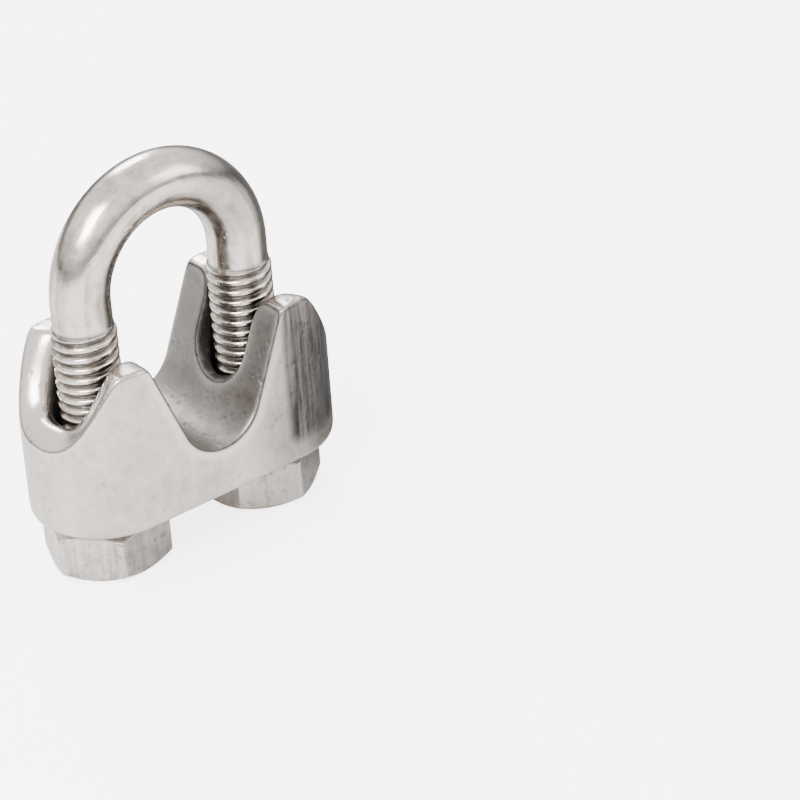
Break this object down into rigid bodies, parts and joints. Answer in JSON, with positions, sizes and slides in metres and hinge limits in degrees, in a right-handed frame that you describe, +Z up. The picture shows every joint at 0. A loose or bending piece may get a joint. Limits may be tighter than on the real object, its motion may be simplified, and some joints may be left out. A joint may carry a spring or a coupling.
{
  "type": "wire rope clip",
  "caption": "Stainless wire rope clip: a threaded U-bolt through a cast saddle with a rope groove, held by hex nuts underneath.",
  "frame": {"origin": "on the surface that the nuts stand on, halfway between the two leg holes of the saddle", "axes": "+Z up from the nuts to the top of the U-bend, along the legs; X runs from leg to leg; Y is the way the rope runs through the clip"},
  "size_m": [0.021, 0.0096, 0.0251],
  "materials": {
    "cast_stainless": "satin, finely pitted investment casting, tumbled and polished on its rims",
    "drawn_stainless": "drawn and polished rod with rolled threads",
    "nut_stainless": "matt grained flats, brighter turned edges"
  },
  "bodies": {
    "saddle": {"saddle": "cast_stainless"},
    "u_bolt": {"u_bolt": "drawn_stainless"},
    "nut_left": {"nut_left": "nut_stainless"},
    "nut_right": {"nut_right": "nut_stainless"}
  },
  "joints": [
    {"name": "u_bolt_draw", "type": "slide", "parent": "saddle", "child": "u_bolt", "axis": [0, 0, -1], "range_m": [0, 0.00875]},
    {"name": "nut_left_spin", "type": "hinge", "parent": "saddle", "child": "nut_left", "pos_m": [-0.0061, 0, 0.0016], "axis": [0, 0, 1], "range_deg": [0, 4500]},
    {"name": "nut_right_spin", "type": "hinge", "parent": "saddle", "child": "nut_right", "pos_m": [0.0055, 0, 0.0016], "axis": [0, 0, 1], "range_deg": [0, 4500]}
  ],
  "couplings": [
    {"joint": "nut_left_spin", "follows": "u_bolt_draw", "rad_per_m": 8976},
    {"joint": "nut_right_spin", "follows": "u_bolt_draw", "rad_per_m": 8976}
  ]
}
